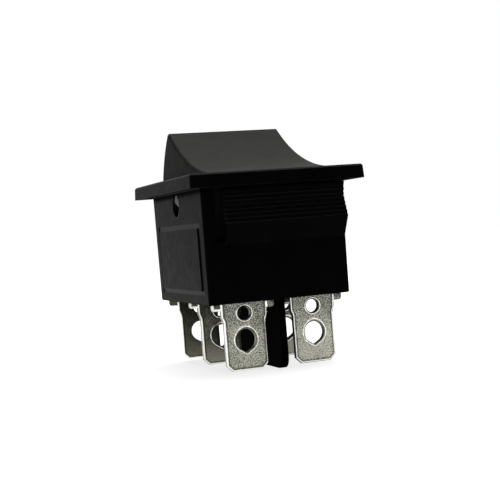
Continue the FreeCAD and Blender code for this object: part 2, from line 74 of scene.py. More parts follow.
def linear(red: float, green: float, blue: float) -> Colour:
    """Turn a colour as a screen shows it into light, by the sRGB curve.

    Args:
        red, green, blue: parts of the colour on the screen, each 0 to 255.

    Returns:
        Red, green, blue and alpha as shader values.
    """
    def part(level: float) -> float:
        """Turn one part of the colour into light."""
        share = level / 255
        return share / 12.92 if share <= 0.04045 else ((share + 0.055) / 1.055) ** 2.4

    return (part(red), part(green), part(blue), 1.0)


def grey(level: float) -> Colour:
    """Even grey, as a shader value."""
    return (level, level, level, 1.0)


def add_object(name: str, data: bpy.types.ID) -> bpy.types.Object:
    """Put a new object into the scene.

    Args:
        name: its name.
        data: its mesh, lamp or camera.

    Returns:
        The object.
    """
    piece = bpy.data.objects.new(name, data)
    bpy.context.scene.collection.objects.link(piece)
    return piece


def join_rings(mesh: bmesh.types.BMesh, near: List[bmesh.types.BMVert],
               far: List[bmesh.types.BMVert]) -> List[bmesh.types.BMFace]:
    """Close the gap between two rings of points with smooth faces.

    Args:
        mesh: mesh that holds the points.
        near, far: the two rings, with as many points each.

    Returns:
        The faces, in the order of the points.
    """
    faces = []
    for index in range(len(near)):
        after = (index + 1) % len(near)
        face = mesh.faces.new((near[index], near[after], far[after], far[index]))
        face.smooth = True
        faces.append(face)
    return faces


def close_mesh(mesh: bmesh.types.BMesh, name: str) -> bpy.types.Mesh:
    """Turn a mesh under construction into mesh data with its faces outward.

    Args:
        mesh: the mesh, which is used up.
        name: name of the data.

    Returns:
        The data.
    """
    bmesh.ops.recalc_face_normals(mesh, faces=mesh.faces)
    data = bpy.data.meshes.new(name)
    mesh.to_mesh(data)
    mesh.free()
    return data


class Wire:
    """A shader value on its way between nodes, which takes Python's arithmetic."""

    def __init__(self, board: "Board", socket: bpy.types.NodeSocket) -> None:
        """Hold a node board and the output socket on it that carries the value."""
        self.board = board
        self.socket = socket

    def __add__(self, other: Value) -> "Wire":
        """Sum."""
        return self.board.sum_up("ADD", self, other)

    def __radd__(self, other: Value) -> "Wire":
        """Sum with the number first."""
        return self.board.sum_up("ADD", other, self)

    def __sub__(self, other: Value) -> "Wire":
        """Difference."""
        return self.board.sum_up("SUBTRACT", self, other)

    def __rsub__(self, other: Value) -> "Wire":
        """Difference with the number first."""
        return self.board.sum_up("SUBTRACT", other, self)

    def __mul__(self, other: Value) -> "Wire":
        """Product."""
        return self.board.sum_up("MULTIPLY", self, other)

    def __rmul__(self, other: Value) -> "Wire":
        """Product with the number first."""
        return self.board.sum_up("MULTIPLY", other, self)

    def __truediv__(self, other: Value) -> "Wire":
        """Quotient."""
        return self.board.sum_up("DIVIDE", self, other)

    def __rtruediv__(self, other: Value) -> "Wire":
        """Quotient with the number first."""
        return self.board.sum_up("DIVIDE", other, self)

    def __neg__(self) -> "Wire":
        """Opposite."""
        return self.board.sum_up("MULTIPLY", self, -1.0)

    def __abs__(self) -> "Wire":
        """Size without its sign."""
        return self.board.sum_up("ABSOLUTE", self)

    def held(self) -> "Wire":
        """The value kept between 0 and 1."""
        return self.board.place("ShaderNodeClamp", {}, {0: self, 1: 0.0, 2: 1.0})

    def at_most(self, limit: "Wire") -> "Wire":
        """The lower of this value and a limit."""
        return self.board.sum_up("MINIMUM", self, limit)

    def rise(self, span: Span) -> "Wire":
        """Rise smoothly from 0 to 1 over a span."""
        settings = {"interpolation_type": "SMOOTHSTEP"}
        return self.board.place("ShaderNodeMapRange", settings, {0: self, 1: span[0], 2: span[1]})

    def fall(self, span: Span) -> "Wire":
        """Fall smoothly from 1 to 0 over a span."""
        return 1 - self.rise(span)


class Board:
    """A node board that shaders are laid out on."""

    def __init__(self, tree: bpy.types.NodeTree) -> None:
        """Clear the node tree of a material or of the world for use."""
        self.tree = tree
        tree.nodes.clear()

    def node(self, kind: str, settings: Dict[str, Any], inputs: Dict[Any, Any]) -> bpy.types.Node:
        """Put one node on the board.

        Args:
            kind: type name of the node.
            settings: settings of the node by name, which are set first.
            inputs: values or wires by socket name or number.

        Returns:
            The node.
        """
        node = self.tree.nodes.new(kind)
        for name, value in settings.items():
            setattr(node, name, value)
        for key, value in inputs.items():
            if isinstance(value, Wire):
                self.tree.links.new(value.socket, node.inputs[key])
            else:
                node.inputs[key].default_value = value
        return node

    def place(self, kind: str, settings: Dict[str, Any], inputs: Dict[Any, Any],
              output: Union[int, str] = 0) -> Wire:
        """Put one node on the board, as node does, and take a wire from one of its outputs."""
        return Wire(self, self.node(kind, settings, inputs).outputs[output])

    def sum_up(self, operation: str, *values: Value) -> Wire:
        """Add one Math node, with its wires or numbers in order."""
        return self.place("ShaderNodeMath", {"operation": operation}, dict(enumerate(values)))

    def dot(self, first: Wire, second: Union[Wire, Triple]) -> Wire:
        """Dot product of two vectors."""
        settings = {"operation": "DOT_PRODUCT"}
        return self.place("ShaderNodeVectorMath", settings, {0: first, 1: second}, "Value")

    def split(self, vector: Wire) -> Tuple[Wire, Wire, Wire]:
        """Take a vector apart.

        Args:
            vector: the vector.

        Returns:
            Its parts along X, Y and Z.
        """
        node = self.node("ShaderNodeSeparateXYZ", {}, {0: vector})
        x, y, z = (Wire(self, socket) for socket in node.outputs)
        return x, y, z

    def blend(self, share: Wire, first: Union[Wire, Colour], second: Colour) -> Wire:
        """Mix two colours, with the share that the second one has."""
        inputs = {MIX_SHARE: share, MIX_FIRST: first, MIX_SECOND: second}
        return self.place("ShaderNodeMix", {"data_type": "RGBA", "clamp_factor": True}, inputs,
                          MIX_RESULT)

    def speckle(self, point: Wire, size_mm: float, detail: float = 2.0) -> Wire:
        """Cloudy noise, from about 0 to about 1.

        Args:
            point: wire with the place on the piece.
            size_mm: size of the clouds, in millimetres.
            detail: how many finer layers it has.

        Returns:
            The noise.
        """
        return self.place("ShaderNodeTexNoise", {}, {
            "Vector": point, "Scale": 1 / (size_mm * MM), "Detail": detail,
            "Roughness": NOISE_ROUGHNESS})

    def ripple(self, point: Wire, size_mm: float, detail: float = 2.0) -> Wire:
        """Cloudy noise about zero, with the arguments of speckle."""
        return self.speckle(point, size_mm, detail) - NOISE_MEAN


class Surface:
    """What every finish starts from: a material, its board and the point that is shaded."""

    def __init__(self, name: str) -> None:
        """Make an empty material.

        Args:
            name: name of the material.
        """
        self.material = bpy.data.materials.new(name)
        self.material.use_nodes = True
        self.board = Board(self.material.node_tree)
        self.point = self.board.place("ShaderNodeTexCoord", {}, {}, "Object")

    def point_mm(self) -> Tuple[Wire, Wire, Wire]:
        """Place of the point along X, Y and Z, in millimetres from the frame's origin."""
        across, along, up = self.board.split(self.point)
        return across / MM, along / MM, up / MM

    def normal(self) -> Wire:
        """Normal of the bare face."""
        return self.board.place("ShaderNodeNewGeometry", {}, {}, "Normal")

    def rounded(self, radius_mm: float) -> Wire:
        """Normal with the edges rounded off by a radius."""
        settings = {"samples": BEVEL_SAMPLES}
        return self.board.place("ShaderNodeBevel", settings, {"Radius": radius_mm * MM})

    def edge_share(self, rounded: Wire, gain: float) -> Wire:
        """Share that is 0 on flat faces and rises with the gain, up to 1 on edges."""
        return ((1 - self.board.dot(rounded, self.normal())) * gain).held()

    def bumped(self, height: Wire, depth_mm: float, strength: float, rounded: Wire) -> Wire:
        """Normal of a grainy face.

        Args:
            height: height of the grain.
            depth_mm: how deep the grain is, in millimetres.
            strength: share of the grain that shows.
            rounded: normal that the grain lies on.

        Returns:
            The normal.
        """
        return self.board.place("ShaderNodeBump", {}, {
            "Strength": strength, "Distance": depth_mm * MM, "Height": height,
            "Normal": rounded})

    def close(self, sockets: Dict[str, Any]) -> bpy.types.Material:
        """Add the shader and the output.

        Args:
            sockets: values and wires for the shader, by socket name.

        Returns:
            The finished material.
        """
        shader = self.board.place("ShaderNodeBsdfPrincipled", {}, sockets)
        self.board.node("ShaderNodeOutputMaterial", {}, {"Surface": shader})
        return self.material


@dataclass(frozen=True)
class HousingMarks:
    """Where the housing is sunk, and where it gets painted sheen, painted highlights and painted
    shadow.

    Places are in millimetres from the frame's origin, in the middle of the panel's face. A
    span is the stretch over which a share rises or falls. Those of the crest and the ridges'
    margin are in pitches, those of the lip run out from the bearing's axis, and that of the
    overhang is the cosine to straight down.
    """

    band_floor: Span = (10.52, 10.56)
    band_mouth: Span = (10.72, 10.76)
    band_end: Span = (11.03, 11.07)
    band_side: Span = (5.14, 5.18)
    pad_middle: float = -9.935
    first_ridge: float = -1.26
    ridge_pitch: float = 0.63
    last_ridge: int = 6
    crest: Span = (0.1, 0.24)
    ridge_margin: Span = (0.3, 0.4)
    ridge_face: Span = (13.3, 13.35)
    bearing: float = -1.8
    lip_start: Span = (1.6, 1.7)
    lip_end: Span = (1.84, 1.94)
    lip_strength: float = 0.7
    tuck_start: Span = (-0.9, -0.1)
    tuck_end: Span = (-0.05, 0.0)
    foot: Span = (-16.6, -16.3)
    overhang: Span = (0.6, 0.8)

    def bands(self, across: Wire, along: Wire, up: Wire) -> Wire:
        """Find the sunk band round the pad on each long side, which gets a painted sheen.

        Args:
            across, along, up: the place on the housing.

        Returns:
            A share, 1 on the floor of the bands.
        """
        depth = abs(across)
        sunk = depth.rise(self.band_floor) * depth.fall(self.band_mouth)
        height = abs(up - self.pad_middle)
        return sunk * (abs(along).fall(self.band_end) * height.fall(self.band_side))

    def crests(self, along: Wire, up: Wire) -> Wire:
        """Find the crests of the ridges on the snap wings, which get a painted highlight.

        Args:
            along, up: the place on the housing.

        Returns:
            A share, 1 along the crests.
        """
        count = (self.first_ridge - up) / self.ridge_pitch
        step = abs(count - count.board.sum_up("ROUND", count))
        half = self.last_ridge / 2
        ridged = (abs(count - half) - half).fall(self.ridge_margin)
        return step.fall(self.crest) * ridged * abs(along).rise(self.ridge_face)

    def lips(self, along: Wire, up: Wire) -> Wire:
        """Find the lip round each bearing hole of the rocker, which gets a painted highlight.

        Args:
            along, up: the place on the housing.

        Returns:
            A share, highest round the holes.
        """
        below = up - self.bearing
        away = along.board.sum_up("SQRT", along * along + below * below)
        return away.rise(self.lip_start) * away.fall(self.lip_end) * self.lip_strength

    def shadow(self, up: Wire) -> Wire:
        """Share of painted shadow, 1 in the strip tucked under the bezel and below the housing's
        floor.
        """
        return up.fall(self.foot) + up.rise(self.tuck_start) * up.fall(self.tuck_end)

    def undersides(self, normal: Wire) -> Wire:
        """Share that is 1 on the faces that look down."""
        return (-normal.board.split(normal)[2]).rise(self.overhang)


@dataclass(frozen=True)
class MouldedPlastic:
    """Dyed nylon with a fine eroded grain, faint flow clouds and edges in another colour."""

    name: str
    colour: Colour
    edge_colour: Colour
    roughness: float = 0.44
    specular: float = 0.022
    edge_radius_mm: float = 0.12
    edge_reach_mm: float = 0.2
    edge_gain: float = 3.0
    edge_tone: float = 0.8
    edge_polish: float = 0.08
    grain_mm: float = 0.11
    grain_rough: float = 0.16
    grain_depth_mm: float = 0.006
    grain_strength: float = 0.55
    cloud_mm: float = 4.5
    cloud_wear: float = 0.3
    cloud_rough: float = 0.12
    scuff_mm: float = 0.7
    scuff_span: Span = (0.58, 0.8)
    scuff_wear: float = 0.12
    scuff_height: float = 0.35
    mottle_mm: float = 1.3
    mottle_rough: float = 0.2
    marks: Optional[HousingMarks] = None
    band_painted_sheen: float = 0.55
    band_polish: float = 0.12
    shade_rough: float = 0.5
    boss_end_mm: float = 0.0
    boss_highlight_span: Span = (-0.2, -0.1)
    boss_highlight_colour: Colour = linear(235, 237, 232)

    def make(self) -> bpy.types.Material:
        """Build the material.

        Returns:
            The material.
        """
        surface = Surface(self.name)
        board = surface.board
        across, along, up = surface.point_mm()
        rounded = surface.rounded(self.edge_radius_mm)
        edge = surface.edge_share(surface.rounded(self.edge_reach_mm), self.edge_gain)
        clouds = board.ripple(surface.point, self.cloud_mm)
        grain = board.ripple(surface.point, self.grain_mm, detail=3.0)
        mottle = board.ripple(surface.point, self.mottle_mm, detail=3.0)
        scuffs = board.speckle(surface.point, self.scuff_mm, detail=4.0).rise(self.scuff_span)
        # edge colour (on the rocker a painted dark shade along the edges), real scuffs and flow
        # clouds
        wear_and_painted_light = edge * self.edge_tone + scuffs * self.scuff_wear + clouds * self.cloud_wear
        rough = (self.roughness + clouds * self.cloud_rough + grain * self.grain_rough
                 + mottle * self.mottle_rough - edge * self.edge_polish)
        if self.marks:
            band = self.marks.bands(across, along, up)
            shadow = self.marks.shadow(up)
            # painted sheen on the sunk bands and painted highlights on the ridge crests and
            # bearing lips, all taken away where the painted shadow lies
            wear_and_painted_light = wear_and_painted_light + band * self.band_painted_sheen + self.marks.crests(along, up)
            wear_and_painted_light = (wear_and_painted_light + self.marks.lips(along, up)) * (1 - shadow)
            unseen = shadow + self.marks.undersides(surface.normal())
            rough = rough - band * self.band_polish + unseen * self.shade_rough
        colour = board.blend(wear_and_painted_light, self.colour, self.edge_colour)
        # painted highlight on the end face of each pivot boss
        if self.boss_end_mm:
            boss_highlight = (abs(across) - self.boss_end_mm).rise(self.boss_highlight_span)
            colour = board.blend(boss_highlight, colour, self.boss_highlight_colour)
        height = grain + scuffs * self.scuff_height
        bump = surface.bumped(height, self.grain_depth_mm, self.grain_strength, rounded)
        return surface.close({
            "Base Color": colour, "Roughness": rough.held(), "Normal": bump,
            "Specular IOR Level": self.specular})


@dataclass(frozen=True)
class StripMarks:
    """What sets places on a plated strip apart from its plain face, painted light and shade among
    them.
    """

    edge: Wire
    darkening: Wire
    polish: Wire
    layers: Tuple[Tuple[Wire, Colour], ...] = ()


@dataclass(frozen=True)
class PlatedStrip:
    """Pressed strip with a dull, grainy tin plating that is bright on its edges.

    The plating is darker near the housing's floor, a painted shade, and lighter in the right
    column and, as painted light, at the foot. Those spans are in millimetres from the frame's
    origin.
    """

    name: str
    colour: Colour
    shade: Colour
    edge_colour: Colour
    roughness: float = 0.38
    edge_radius_mm: float = 0.35
    edge_gain: float = 6.0
    edge_polish: float = 0.22
    grain_mm: float = 0.155
    grain_rough: float = 0.3
    grain_depth_mm: float = 0.03
    grain_strength: float = 0.8
    contrast: float = 7.5
    stain_mm: float = 2.6
    stain_contrast: float = 1.2
    stain_rough: float = 0.2
    darkening: float = 0.42
    tarnish_and_shade: float = 0.5
    floor_shade_span: Span = (-21.5, -17.0)
    right_side: Span = (0.0, 1.0)
    right_lightening: float = 0.3
    foot_span: Span = (-25.4, -22.0)
    foot_painted_light: float = 0.0

    def _darkening_by_place(self, across: Wire, up: Wire) -> Wire:
        """Find how far the plating is darkened near the housing's floor, a painted shade, and
        lightened in the right column and, as painted light, at the foot.

        Args:
            across, up: the place on the strip.

        Returns:
            What is added to the darkening.
        """
        # painted shade near the housing's floor, lighter in the right column, painted light at
        # the foot
        near_floor = up.rise(self.floor_shade_span)
        wear_and_painted_light = (across.rise(self.right_side) * (1 - near_floor) * self.right_lightening
                + up.fall(self.foot_span) * self.foot_painted_light)
        return near_floor * self.tarnish_and_shade - wear_and_painted_light

    def _marks(self, surface: Surface, rounded: Wire) -> StripMarks:
        """Find the strip's bright edges.

        Args:
            surface: the surface under construction.
            rounded: normal with the edges rounded off.

        Returns:
            The marks.
        """
        across, _, up = surface.point_mm()
        edge = surface.edge_share(rounded, self.edge_gain)
        return StripMarks(edge, self._darkening_by_place(across, up), edge * self.edge_polish)

    def make(self) -> bpy.types.Material:
        """Build the material.

        Returns:
            The material.
        """
        surface = Surface(self.name)
        board = surface.board
        rounded = surface.rounded(self.edge_radius_mm)
        marks = self._marks(surface, rounded)
        grain = board.ripple(surface.point, self.grain_mm)
        stains = board.ripple(surface.point, self.stain_mm, detail=3.0)
        dull = (grain * self.contrast + stains * self.stain_contrast + self.darkening
                + marks.darkening).held()
        colour = board.blend(dull, self.colour, self.shade)
        for share, layer_colour in marks.layers:
            colour = board.blend(share, colour, layer_colour)
        colour = board.blend(marks.edge, colour, self.edge_colour)
        rough = (self.roughness + grain * self.grain_rough + stains * self.stain_rough
                 - marks.polish)
        bump = surface.bumped(grain, self.grain_depth_mm, self.grain_strength, rounded)
        return surface.close({
            "Base Color": colour, "Metallic": 1.0, "Roughness": rough.held(), "Normal": bump})


@dataclass(frozen=True)
class PlatedTab(PlatedStrip):
    """Plated strip of a terminal, whose tab has a pressed outline and sheared ears.

    Places are in millimetres, across from the middle of the tab, which is the column, and
    up from the frame's origin. The spans of the outline, the edge line and the groove run
    inward from the outline, and those of the turns are the cosine to the tab's own face.
    """

    column: float = 5.25
    half_width: float = 3.15
    shoulder: float = 0.27
    shoulder_span: Span = (-19.05, -18.2)
    corner: float = 28.4
    tip: float = -26.1
    outline: Span = (0.05, 0.11)
    edge_line: Span = (0.17, 0.25)
    groove_start: Span = (0.22, 0.3)
    groove_end: Span = (0.42, 0.55)
    edge_turn: Span = (0.25, 0.6)
    wall_turn: Span = (0.3, 0.6)
    wall_shade: float = 0.9
    wall_shade_colour: Colour = linear(30, 30, 26)
    lit_wall: float = 0.0
    lit_wall_polish: float = 0.2
    lit_wall_colour: Colour = linear(254, 254, 252)
    ear: Span = (3.42, 3.47)
    ear_left: Span = (-1.0, 1.0)
    ear_shade: float = 0.4
    lit_ear_brightening: float = 0.9
    ear_light: float = 1.0
    lip_light: float = 0.8
    hollow_side: Span = (4.2, 4.35)
    hollow_top: Span = (-17.15, -17.0)
    hollow_shade: float = 0.85
    hollow_shade_colour: Colour = linear(40, 40, 36)

    def _rim(self, reach: Wire, up: Wire) -> Wire:
        """Measure how far a point lies inside the outline of the blade.

        Args:
            reach: distance from the middle of the tab.
            up: height of the point.

        Returns:
            The distance, in millimetres.
        """
        half_width = self.half_width + up.rise(self.shoulder_span) * self.shoulder
        corner = (self.corner - reach + up) * math.sqrt(0.5)
        return (half_width - reach).at_most(up - self.tip).at_most(corner)

    def _ear_layers(self, lit_ear: Wire, reach: Wire, up: Wire) -> List[Tuple[Wire, Colour]]:
        """Lay a painted highlight on the lip and a painted shade in the hollow of the ears that
        catch the light.

        Args:
            lit_ear: share of the ears that catch the light.
            reach: distance from the middle of the tab.
            up: height of the point.

        Returns:
            Share and colour of each layer.
        """
        hollow = reach.fall(self.hollow_side) * up.rise(self.hollow_top)
        return [(lit_ear * (1 - hollow) * self.lip_light, self.edge_colour),
                (lit_ear * hollow * self.hollow_shade, self.hollow_shade_colour)]

    def _marks(self, surface: Surface, rounded: Wire) -> StripMarks:
        """Find the outline, the walls and the ears of the tab, with their painted light and
        shade.

        Args:
            surface: the surface under construction.
            rounded: normal with the edges rounded off.

        Returns:
            The marks.
        """
        board = surface.board
        to_rear = (0.0, 1.0, 0.0)
        across, _, up = surface.point_mm()
        reach = abs(abs(across) - self.column)
        rim = self._rim(reach, up)
        ear = reach.rise(self.ear)
        offset = across - board.sum_up("SIGN", across) * self.column
        lit_ear = ear * offset.fall(self.ear_left) * self.ear_light
        right = across.rise(self.right_side)
        # painted shade on the outer walls of the right-hand tabs, painted light on those of the
        # left-hand tabs where lit_wall is set
        face = abs(board.dot(surface.normal(), to_rear)).rise(self.wall_turn)
        outer = (1 - face * rim.rise(self.outline)) * (1 - ear)
        shaded_wall = outer * right
        lit_wall = outer * (1 - right) * self.lit_wall
        flat = abs(board.dot(rounded, to_rear)).rise(self.edge_turn)
        edge = rim.fall(self.edge_line) * (1 - ear) * flat * (1 - shaded_wall)
        # painted shade in the groove inside the outline and on the ears, painted light on the
        # ears that catch the light
        groove_shade = rim.rise(self.groove_start) * rim.fall(self.groove_end)
        darkening = (self._darkening_by_place(across, up) + groove_shade + ear * self.ear_shade
                    - lit_ear * self.lit_ear_brightening)
        layers = self._ear_layers(lit_ear, reach, up) if self.ear_light else []
        layers.append((shaded_wall * self.wall_shade, self.wall_shade_colour))
        if self.lit_wall:
            layers.append((lit_wall, self.lit_wall_colour))
        polish = edge * self.edge_polish + lit_wall * self.lit_wall_polish
        return StripMarks(edge, darkening, polish, tuple(layers))


@dataclass(frozen=True)
class BareMetal:
    """Drawn or rolled metal with fine marks along one way and a light tarnish."""

    name: str
    colour: Colour
    tarnish_and_shade: Colour
    roughness: float = 0.28
    edge_radius_mm: float = 0.06
    stretch: Triple = (1.0, 0.08, 1.0)
    mark_mm: float = 0.09
    mark_rough: float = 0.2
    mark_depth_mm: float = 0.006
    mark_strength: float = 0.4
    film_mm: float = 1.4
    film_span: Span = (0.42, 0.75)
    film_share: float = 0.6
    film_rough: float = 0.15

    def make(self) -> bpy.types.Material:
        """Build the material.

        Returns:
            The material.
        """
        surface = Surface(self.name)
        board = surface.board
        rounded = surface.rounded(self.edge_radius_mm)
        along = board.place("ShaderNodeVectorMath", {"operation": "MULTIPLY"},
                            {0: surface.point, 1: self.stretch})
        marks = board.ripple(along, self.mark_mm, detail=3.0)
        film = board.speckle(surface.point, self.film_mm, detail=4.0).rise(self.film_span)
        colour = board.blend(film * self.film_share, self.colour, self.tarnish_and_shade)
        rough = self.roughness + marks * self.mark_rough + film * self.film_rough
        bump = surface.bumped(marks, self.mark_depth_mm, self.mark_strength, rounded)
        return surface.close({
            "Base Color": colour, "Metallic": 1.0, "Roughness": rough.held(), "Normal": bump})


@dataclass(frozen=True)
class SlipPlastic:
    """Natural acetal of the plungers: milky and smooth, a little dirty where it rubs."""

    name: str
    colour: Colour
    wear_and_painted_light: Colour
    roughness: float = 0.34
    edge_radius_mm: float = 0.08
    grain_mm: float = 0.12
    grain_depth_mm: float = 0.004
    grain_strength: float = 0.3
    dirt_mm: float = 0.9
    dirt_span: Span = (0.5, 0.8)
    dirt_share: float = 0.5
    dirt_rough: float = 0.2

    def make(self) -> bpy.types.Material:
        """Build the material.

        Returns:
            The material.
        """
        surface = Surface(self.name)
        board = surface.board
        rounded = surface.rounded(self.edge_radius_mm)
        dirt = board.speckle(surface.point, self.dirt_mm, detail=4.0).rise(self.dirt_span)
        grain = board.ripple(surface.point, self.grain_mm)
        colour = board.blend(dirt * self.dirt_share, self.colour, self.wear_and_painted_light)
        rough = self.roughness + dirt * self.dirt_rough
        bump = surface.bumped(grain, self.grain_depth_mm, self.grain_strength, rounded)
        return surface.close({"Base Color": colour, "Roughness": rough.held(), "Normal": bump})


class Finish(Enum):
    """The finishes of the switch, one for each of its materials."""

    HOUSING = MouldedPlastic("housing_nylon", linear(8, 10, 8), linear(60, 64, 59),
                             specular=0.0132, marks=HousingMarks())
    # the rocker's dark edge colour is a painted shade along its edges, and the light colour at
    # its boss ends is a painted highlight
    ROCKER = MouldedPlastic("rocker_nylon", linear(37, 38, 36), linear(8, 10, 9),
                            roughness=0.5, specular=0.01, grain_mm=0.09,
                            edge_radius_mm=0.15, edge_polish=-0.5, edge_reach_mm=0.55,
                            edge_gain=7.0, boss_end_mm=10.5)
    TAB = PlatedTab("tin_plate", linear(195, 195, 180), linear(84, 86, 79),
                    linear(252, 252, 246))
    # darker copies of the tin plate for the middle and rear rows are painted shade, with painted
    # light at their foot
    SHADED_TAB = PlatedTab("shaded_tin_plate", linear(150, 150, 136), linear(84, 84, 74),
                           linear(240, 240, 230), roughness=0.42, grain_mm=0.4,
                           contrast=2.2, foot_painted_light=0.7)
    REAR_TAB = PlatedTab("deep_shaded_tin_plate", linear(118, 118, 104), linear(72, 72, 62),
                         linear(248, 248, 240), roughness=0.42, grain_mm=0.6,
                         contrast=1.6, lit_wall=0.95, foot_painted_light=0.6, ear_light=0.0)
    RIM = PlatedStrip("coined_tin", linear(252, 252, 246), linear(214, 213, 204),
                      linear(254, 254, 250), roughness=0.2, grain_mm=0.35,
                      edge_radius_mm=0.08)
    # darker copy of the coined tin for the inner slope of the rims: painted shade
    SHADED_SLOPE = PlatedStrip("shaded_coined_slope", linear(132, 132, 124), linear(70, 70, 64),
                        linear(150, 150, 142), grain_mm=0.3, edge_radius_mm=0.08,
                        contrast=3.0)
    SPRING = BareMetal("spring_wire", linear(176, 178, 180), linear(120, 118, 112),
                       roughness=0.26)
    BRIDGE = BareMetal("bridge_copper", linear(214, 160, 120), linear(130, 84, 60),
                       roughness=0.3)
    CONTACT = BareMetal("contact_silver", linear(222, 222, 216), linear(150, 146, 134),
                        roughness=0.24)
    PLUNGER = SlipPlastic("plunger_acetal", linear(226, 224, 214), linear(150, 146, 134))


class Paints:
    """Makes each finish once and puts it on pieces."""

    def __init__(self) -> None:
        """Start with no material made."""
        self.made: Dict[Finish, bpy.types.Material] = {}

    def of(self, finish: Finish) -> bpy.types.Material:
        """Material of a finish.

        Args:
            finish: the finish.

        Returns:
            Its material, made on first use.
        """
        if finish not in self.made:
            self.made[finish] = finish.value.make()
        return self.made[finish]

    def dress(self, piece: bpy.types.Object, finish: Finish) -> None:
        """Give a piece its finish.

        Args:
            piece: a node of the frame or a new piece.
            finish: the finish.
        """
        if not piece.material_slots:
            piece.data.materials.append(None)
        for slot in piece.material_slots:
            slot.material = self.of(finish)


@dataclass
class MouldedParts:
    """Housing and rocker, which keep their solids' shape."""

    nodes: Dict[str, bpy.types.Object]
    paints: Paints

    def build(self) -> List[bpy.types.Object]:
        """Dress both mouldings.

        Returns:
            The dressed pieces.
        """
        self.paints.dress(self.nodes["housing"], Finish.HOUSING)
        self.paints.dress(self.nodes["rocker"], Finish.ROCKER)
        return [self.nodes["housing"], self.nodes["rocker"]]


@dataclass
class MetalParts:
    """Terminals, bridges and contact rivets, which keep their solids' shape."""

    nodes: Dict[str, bpy.types.Object]
    paints: Paints

    def build(self) -> List[bpy.types.Object]:
        """Dress every metal node.

        Returns:
            The dressed pieces.
        """
        # the common terminals of the middle row get the darker copy of the tin plate, a painted
        # shade
        kinds = {"common_terminal": Finish.SHADED_TAB, "throw_terminal": Finish.TAB,
                 "contact_bridge": Finish.BRIDGE, "bridge_rivet": Finish.CONTACT,
                 "contact_rivet": Finish.CONTACT}
        dressed = []
        for name, node in self.nodes.items():
            for kind, finish in kinds.items():
                if name.startswith(kind):
                    self.paints.dress(node, finish)
                    dressed.append(node)
        # the rear terminals get a still darker copy, a painted shade
        for hand in SIDES:
            self.paints.dress(self.nodes["throw_terminal_" + hand + "_rear"], Finish.REAR_TAB)
        return dressed


@dataclass
class CoinedRims:
    """Rounded rims that the press raises round the eye and the teardrop of a tab.

    The section's points lie out from the hole's edge and up from the tab's face.
    """

    hand: str
    row: str
    outer_side: int
    paints: Paints
    column_mm: float = 5.25
    row_mm: float = 11.05
    half_thickness_mm: float = 0.4
    eye_radius_mm: float = 0.95
    eye_z_mm: float = -17.92
    drop_radius_mm: float = 1.54
    drop_half_angle_deg: float = 58.0
    drop_z_mm: float = -21.75
    section_mm: Tuple[Tuple[float, float], ...] = (
        (-0.01, -0.22), (0.0, -0.07), (0.08, -0.01), (0.16, 0.05), (0.21, 0.09),
        (0.27, 0.09), (0.33, 0.04), (0.37, -0.05), (0.2, -0.24))
    finishes: Tuple[Finish, ...] = (Finish.RIM, Finish.SHADED_SLOPE)
    slope_faces: int = 3
    peak: float = 0.85
    peak_power: int = 5
    steps: int = 56
    point_steps: int = 8
    weld_mm: float = 0.001

    def _eye_line(self) -> List[Tuple[Vector, Vector]]:
        """Edge of the round eye.

        Returns:
            Points and outward ways in the plane of the tab, in millimetres.
        """
        centre = Vector((0, self.eye_z_mm))
        line = []
        for index in range(self.steps):
            angle = 2 * math.pi * index / self.steps
            way = Vector((math.cos(angle), math.sin(angle)))
            line.append((centre + way * self.eye_radius_mm, way))
        return line

    def _drop_line(self) -> List[Tuple[Vector, Vector]]:
        """Edge of the teardrop, round its top and turning about its point.

        Returns:
            Points and outward ways in the plane of the tab, in millimetres. The ways are
            longer at the top, where the rim runs up to a blunt peak.
        """
        centre = Vector((0, self.drop_z_mm))
        half = math.radians(self.drop_half_angle_deg)
        point = centre - Vector((0, self.drop_radius_mm / math.sin(half)))
        line = []
        for index in range(self.steps + 1):
            angle = -half + (math.pi + 2 * half) * index / self.steps
            way = Vector((math.cos(angle), math.sin(angle)))
            wide = 1 + self.peak * max(0.0, way.y) ** self.peak_power
            line.append((centre + way * self.drop_radius_mm, way * wide))
        for index in range(self.point_steps + 1):
            angle = math.pi + half + (math.pi - 2 * half) * index / self.point_steps
            line.append((point, Vector((math.cos(angle), math.sin(angle)))))
        return line

    def _add_rim(self, mesh: bmesh.types.BMesh, line: List[Tuple[Vector, Vector]]) -> None:
        """Sweep the rim's section round the edge of a hole.

        Args:
            mesh: mesh that takes the rim.
            line: points and outward ways along the edge.
        """
        column = SIDES[self.hand] * self.column_mm
        plane = ROWS[self.row] * self.row_mm + self.outer_side * self.half_thickness_mm
        rings = []
        for point, way in line:
            ring = []
            for out, rise in self.section_mm:
                spot = point + way * out
                place = Vector((column + spot.x, plane + self.outer_side * rise, spot.y))
                ring.append(mesh.verts.new(place * MM))
            rings.append(ring)
        for near, far in zip(rings, rings[1:] + rings[:1]):
            # the inner slope faces get the darker coined tin, a painted shade
            for face in join_rings(mesh, near, far)[:self.slope_faces]:
                face.material_index = self.finishes.index(Finish.SHADED_SLOPE)

    def build(self) -> List[bpy.types.Object]:
        """Raise both rims of the tab.

        Returns:
            The rims, as one piece.
        """
        name = "coined_rims_" + self.hand + "_" + self.row
        mesh = bmesh.new()
        self._add_rim(mesh, self._eye_line())
        self._add_rim(mesh, self._drop_line())
        bmesh.ops.remove_doubles(mesh, verts=mesh.verts, dist=self.weld_mm * MM)
        rims = add_object(name, close_mesh(mesh, name))
        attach(rims, "housing")
        for finish in self.finishes:
            rims.data.materials.append(self.paints.of(finish))
        return [rims]


